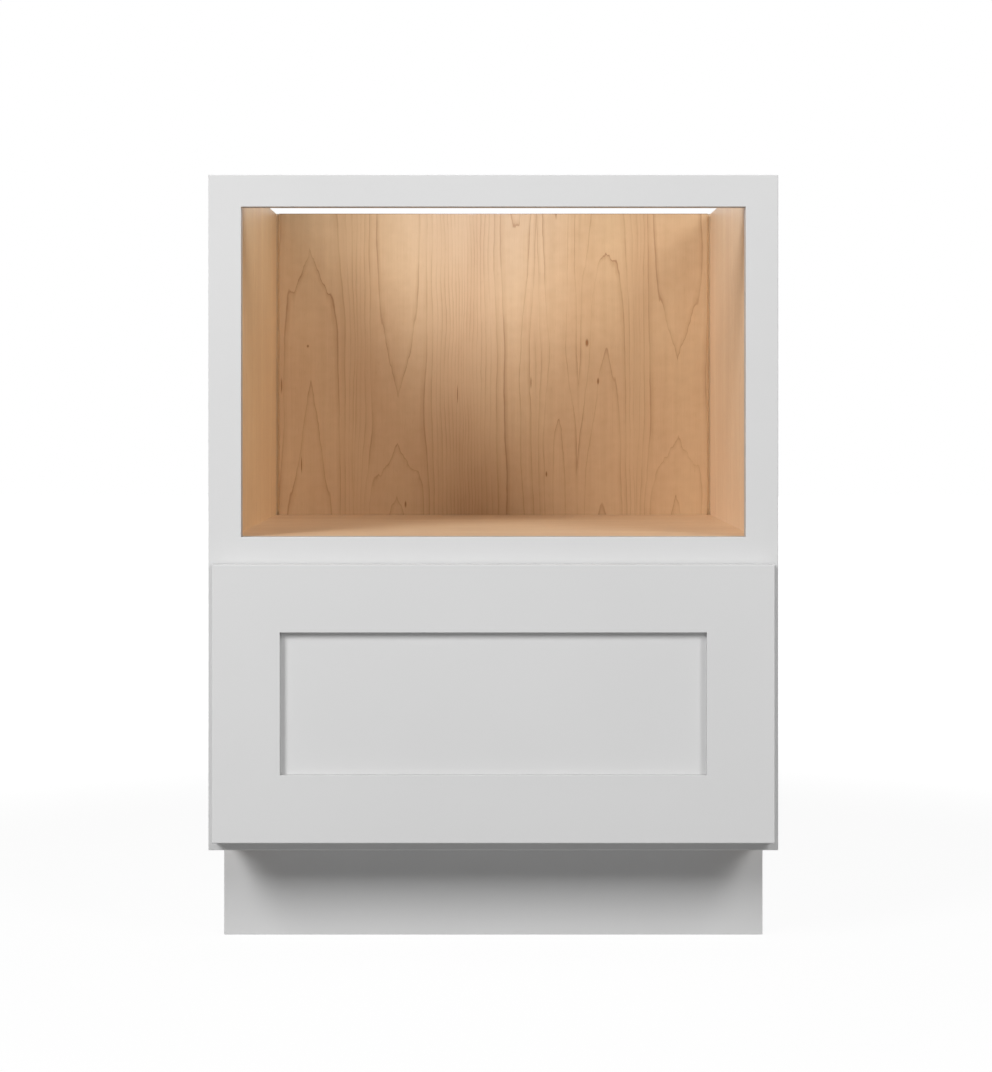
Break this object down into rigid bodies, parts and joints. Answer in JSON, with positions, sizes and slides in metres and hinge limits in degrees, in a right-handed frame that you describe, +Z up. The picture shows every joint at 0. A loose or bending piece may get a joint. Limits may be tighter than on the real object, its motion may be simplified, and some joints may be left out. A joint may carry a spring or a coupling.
{
  "type": "microwave base cabinet",
  "caption": "Face-frame kitchen base cabinet with an open-fronted maple niche for a microwave above one deep full-extension drawer and a recessed toe kick.",
  "frame": {"origin": "on the floor, under the middle of the cabinet's bounding box with the drawer shut", "axes": "+Z up, the front with the drawer faces -Y, +X to the right as seen from the front"},
  "size_m": [0.643, 0.6308, 0.8763],
  "materials": {
    "paint": "light grey satin paint on maple and MDF",
    "maple_veneer": "clear-coated plain-sliced maple veneer on plywood",
    "plywood": "bare plywood with its plies on the edges",
    "maple_board": "clear-coated solid maple",
    "zinc_steel": "bright zinc-plated sheet steel",
    "grey_plastic": "moulded grey nylon",
    "lever_plastic": "moulded orange acetal",
    "clear_rubber": "clear soft polyurethane"
  },
  "bodies": {
    "cabinet": {"left_stile": "paint", "right_stile": "paint", "top_rail": "paint", "middle_rail": "paint", "bottom_rail": "paint", "toe_kick_board": "paint", "left_side_panel": "maple_veneer", "right_side_panel": "maple_veneer", "back_panel": "maple_veneer", "microwave_shelf": "maple_veneer", "bottom_panel": "maple_veneer", "left_corner_block": "plywood", "right_corner_block": "plywood", "top_hang_rail": "plywood", "middle_hang_rail": "plywood", "bottom_hang_rail": "plywood", "toe_kick_rail": "plywood", "left_runner_spacer": "maple_board", "right_runner_spacer": "maple_board", "left_runner_cabinet_member": "zinc_steel", "right_runner_cabinet_member": "zinc_steel", "left_soft_close_unit": "grey_plastic", "left_rear_bracket": "grey_plastic", "right_soft_close_unit": "grey_plastic", "right_rear_bracket": "grey_plastic"},
    "drawer": {"drawer_front_left_stile": "paint", "drawer_front_right_stile": "paint", "drawer_front_top_rail": "paint", "drawer_front_bottom_rail": "paint", "drawer_front_panel": "paint", "drawer_box_front": "maple_board", "drawer_box_back": "maple_board", "drawer_box_left_side": "maple_board", "drawer_box_right_side": "maple_board", "drawer_box_bottom": "maple_board", "left_runner_drawer_member": "zinc_steel", "right_runner_drawer_member": "zinc_steel", "left_locking_device": "grey_plastic", "right_locking_device": "grey_plastic", "lower_left_bumper": "clear_rubber", "lower_right_bumper": "clear_rubber", "upper_left_bumper": "clear_rubber", "upper_right_bumper": "clear_rubber", "drawer_front_screw_left_1": "zinc_steel", "drawer_front_screw_left_2": "zinc_steel", "drawer_front_screw_right_1": "zinc_steel", "drawer_front_screw_right_2": "zinc_steel"},
    "left_middle_member": {"left_runner_middle_member": "zinc_steel"},
    "left_lower_cage": {"left_lower_roller_cage": "grey_plastic"},
    "left_upper_cage": {"left_upper_roller_cage": "grey_plastic"},
    "left_release_lever": {"left_release_lever": "lever_plastic"},
    "right_middle_member": {"right_runner_middle_member": "zinc_steel"},
    "right_lower_cage": {"right_lower_roller_cage": "grey_plastic"},
    "right_upper_cage": {"right_upper_roller_cage": "grey_plastic"},
    "right_release_lever": {"right_release_lever": "lever_plastic"}
  },
  "joints": [
    {"name": "drawer_slide", "type": "slide", "parent": "cabinet", "child": "drawer", "axis": [0, -1, 0], "range_m": [0, 0.52]},
    {"name": "left_middle_member_slide", "type": "slide", "parent": "cabinet", "child": "left_middle_member", "axis": [0, -1, 0], "range_m": [0, 0.26]},
    {"name": "left_lower_cage_slide", "type": "slide", "parent": "cabinet", "child": "left_lower_cage", "axis": [0, -1, 0], "range_m": [0, 0.13]},
    {"name": "left_upper_cage_slide", "type": "slide", "parent": "cabinet", "child": "left_upper_cage", "axis": [0, -1, 0], "range_m": [0, 0.39]},
    {"name": "left_lever_turn", "type": "hinge", "parent": "drawer", "child": "left_release_lever", "pos_m": [-0.22545, -0.23983, 0.1716], "axis": [0, 0, 1], "range_deg": [0, 12], "stiffness_Nm_per_rad": 0.05},
    {"name": "right_middle_member_slide", "type": "slide", "parent": "cabinet", "child": "right_middle_member", "axis": [0, -1, 0], "range_m": [0, 0.26]},
    {"name": "right_lower_cage_slide", "type": "slide", "parent": "cabinet", "child": "right_lower_cage", "axis": [0, -1, 0], "range_m": [0, 0.13]},
    {"name": "right_upper_cage_slide", "type": "slide", "parent": "cabinet", "child": "right_upper_cage", "axis": [0, -1, 0], "range_m": [0, 0.39]},
    {"name": "right_lever_turn", "type": "hinge", "parent": "drawer", "child": "right_release_lever", "pos_m": [0.22545, -0.23983, 0.1716], "axis": [0, 0, -1], "range_deg": [0, 12], "stiffness_Nm_per_rad": 0.05}
  ],
  "couplings": [
    {"joint": "left_middle_member_slide", "follows": "drawer_slide", "ratio": 0.5},
    {"joint": "left_lower_cage_slide", "follows": "drawer_slide", "ratio": 0.25},
    {"joint": "left_upper_cage_slide", "follows": "drawer_slide", "ratio": 0.75},
    {"joint": "right_middle_member_slide", "follows": "drawer_slide", "ratio": 0.5},
    {"joint": "right_lower_cage_slide", "follows": "drawer_slide", "ratio": 0.25},
    {"joint": "right_upper_cage_slide", "follows": "drawer_slide", "ratio": 0.75}
  ]
}
